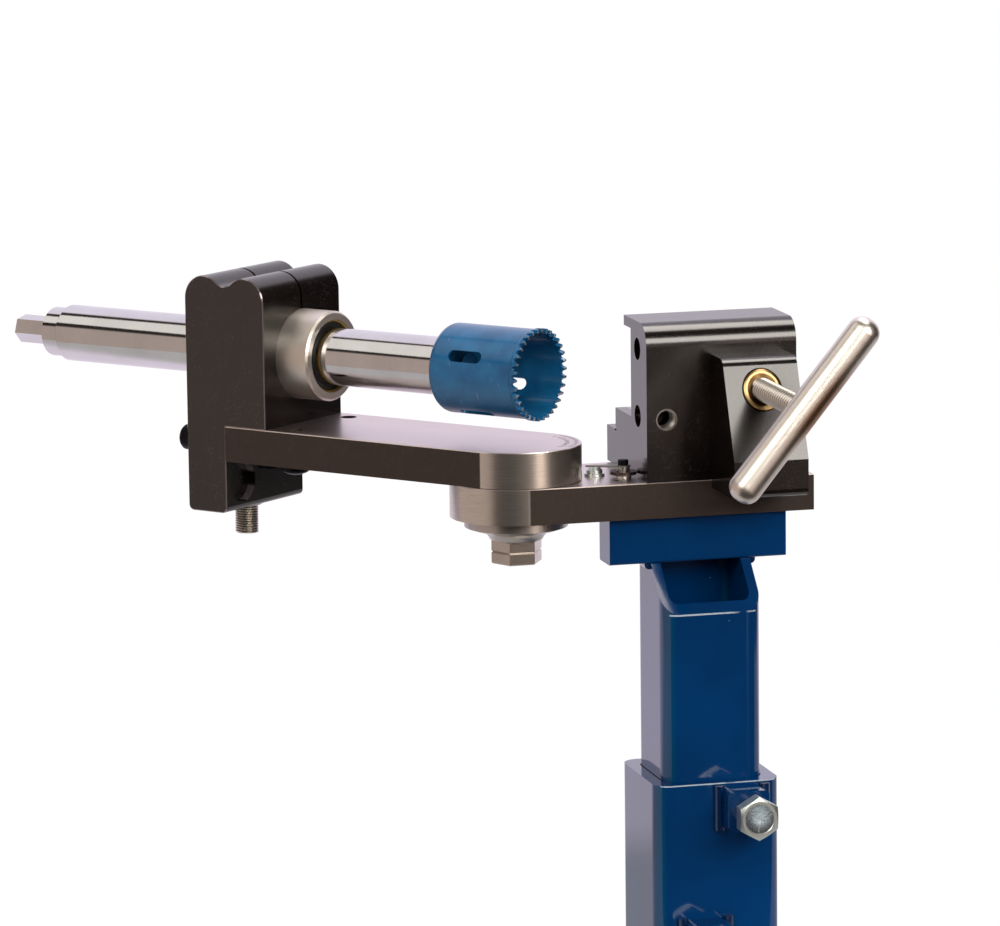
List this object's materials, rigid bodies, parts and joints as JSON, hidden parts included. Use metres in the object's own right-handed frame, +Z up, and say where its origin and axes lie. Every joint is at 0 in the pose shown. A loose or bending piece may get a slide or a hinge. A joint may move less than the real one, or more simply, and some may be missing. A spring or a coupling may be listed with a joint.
{
  "type": "tube notcher",
  "caption": "Bench tube notcher: a swinging arm carries a sliding hole-saw spindle past a screw-operated tube clamp, on a telescoping square post.",
  "frame": {"origin": "the axis of the stand's square socket, at the socket's lower end", "axes": "+X along the clamped tube, away from the saw; +Y from the clamp screw's handle to the back; +Z up"},
  "size_m": [0.3564, 0.37, 0.3595],
  "materials": {
    "stand_paint": "gloss",
    "zinc_steel": "zinc plated",
    "plate_steel": "ground top, mill scale sides",
    "machined_steel": "turned",
    "polished_steel": "polished",
    "black_anodised": "black anodised, satin",
    "black_screws": "black oxide",
    "saw_enamel": "gloss enamel, bare teeth",
    "brass": "machined",
    "bronze": "machined",
    "seal_rubber": "matte",
    "ring_plastic": "matte"
  },
  "bodies": {
    "stand_socket": {"outer_socket": "stand_paint", "lock_block_upper": "stand_paint", "lock_block_lower": "stand_paint"},
    "upper_lock": {"lock_bolt_upper": "zinc_steel"},
    "lower_lock": {"lock_bolt_lower": "zinc_steel"},
    "head": {"inner_post": "stand_paint", "mount_bar": "stand_paint", "post_welds": "stand_paint", "bar_screws": "black_screws", "base_plate": "plate_steel", "clamp_mount_screws": "black_screws", "pivot_bushing": "bronze", "stop_washer": "machined_steel", "stop_screw": "black_screws", "pointer_thumb_nut": "brass", "pointer_spacer": "machined_steel", "pointer_collar": "machined_steel", "angle_pointer": "machined_steel", "pointer_screw": "zinc_steel", "clamp_body": "black_anodised", "clamp_lip": "black_anodised", "clamp_saddle": "black_anodised", "clamp_nut": "brass"},
    "arm": {"swing_arm": "plate_steel", "arm_jack_screws": "black_screws", "roof_screws": "black_screws", "pivot_stud": "machined_steel", "pivot_washer": "machined_steel", "pivot_nut": "machined_steel", "pivot_jam_nut": "machined_steel", "spindle_housing": "black_anodised", "housing_side_screws": "black_screws", "housing_pinch_screw": "black_screws", "leg_stud": "machined_steel", "bearing_shell": "polished_steel", "bearing_snap_ring": "ring_plastic", "bearing_front_seal": "seal_rubber", "bearing_rear_seal": "seal_rubber"},
    "ball_cage": {"bearing_cage": "ring_plastic", "bearing_ball_rows": "polished_steel"},
    "saw_spindle": {"spindle": "polished_steel", "hole_saw": "saw_enamel"},
    "jaw": {"clamp_jaw": "machined_steel"},
    "clamp_screw_and_handle": {"clamp_screw": "machined_steel", "clamp_handle": "machined_steel"}
  },
  "joints": [
    {"name": "post_slide", "type": "slide", "parent": "stand_socket", "child": "head", "axis": [0, 0, 1], "range_m": [-0.02, 0.05]},
    {"name": "upper_lock_turn", "type": "hinge", "parent": "stand_socket", "child": "upper_lock", "pos_m": [0.0116, -0.06, 0.10585], "axis": [0, 1, 0], "continuous": true},
    {"name": "lower_lock_turn", "type": "hinge", "parent": "stand_socket", "child": "lower_lock", "pos_m": [-0.0073, -0.06, 0.03985], "axis": [0, 1, 0], "continuous": true},
    {"name": "arm_swing", "type": "hinge", "parent": "head", "child": "arm", "pos_m": [-0.0865, 0.025, 0.2745], "axis": [0, 0, 1], "range_deg": [-41.3, 18.7]},
    {"name": "spindle_turn", "type": "hinge", "parent": "arm", "child": "ball_cage", "pos_m": [-0.0865, 0.025, 0.3185], "axis": [0.66, -0.7513, 0], "continuous": true},
    {"name": "spindle_feed", "type": "slide", "parent": "ball_cage", "child": "saw_spindle", "axis": [0.66, -0.7513, 0], "range_m": [-0.06, 0.029]},
    {"name": "jaw_slide", "type": "slide", "parent": "head", "child": "jaw", "axis": [0, 1, 0], "range_m": [-0.016, 0.018]},
    {"name": "screw_turn", "type": "hinge", "parent": "jaw", "child": "clamp_screw_and_handle", "pos_m": [0.0231, -0.055, 0.3131], "axis": [0, 1, 0], "range_deg": [-3060, 3420]}
  ],
  "couplings": [
    {"joint": "jaw_slide", "follows": "screw_turn", "m_per_rad": 0.00028871}
  ]
}
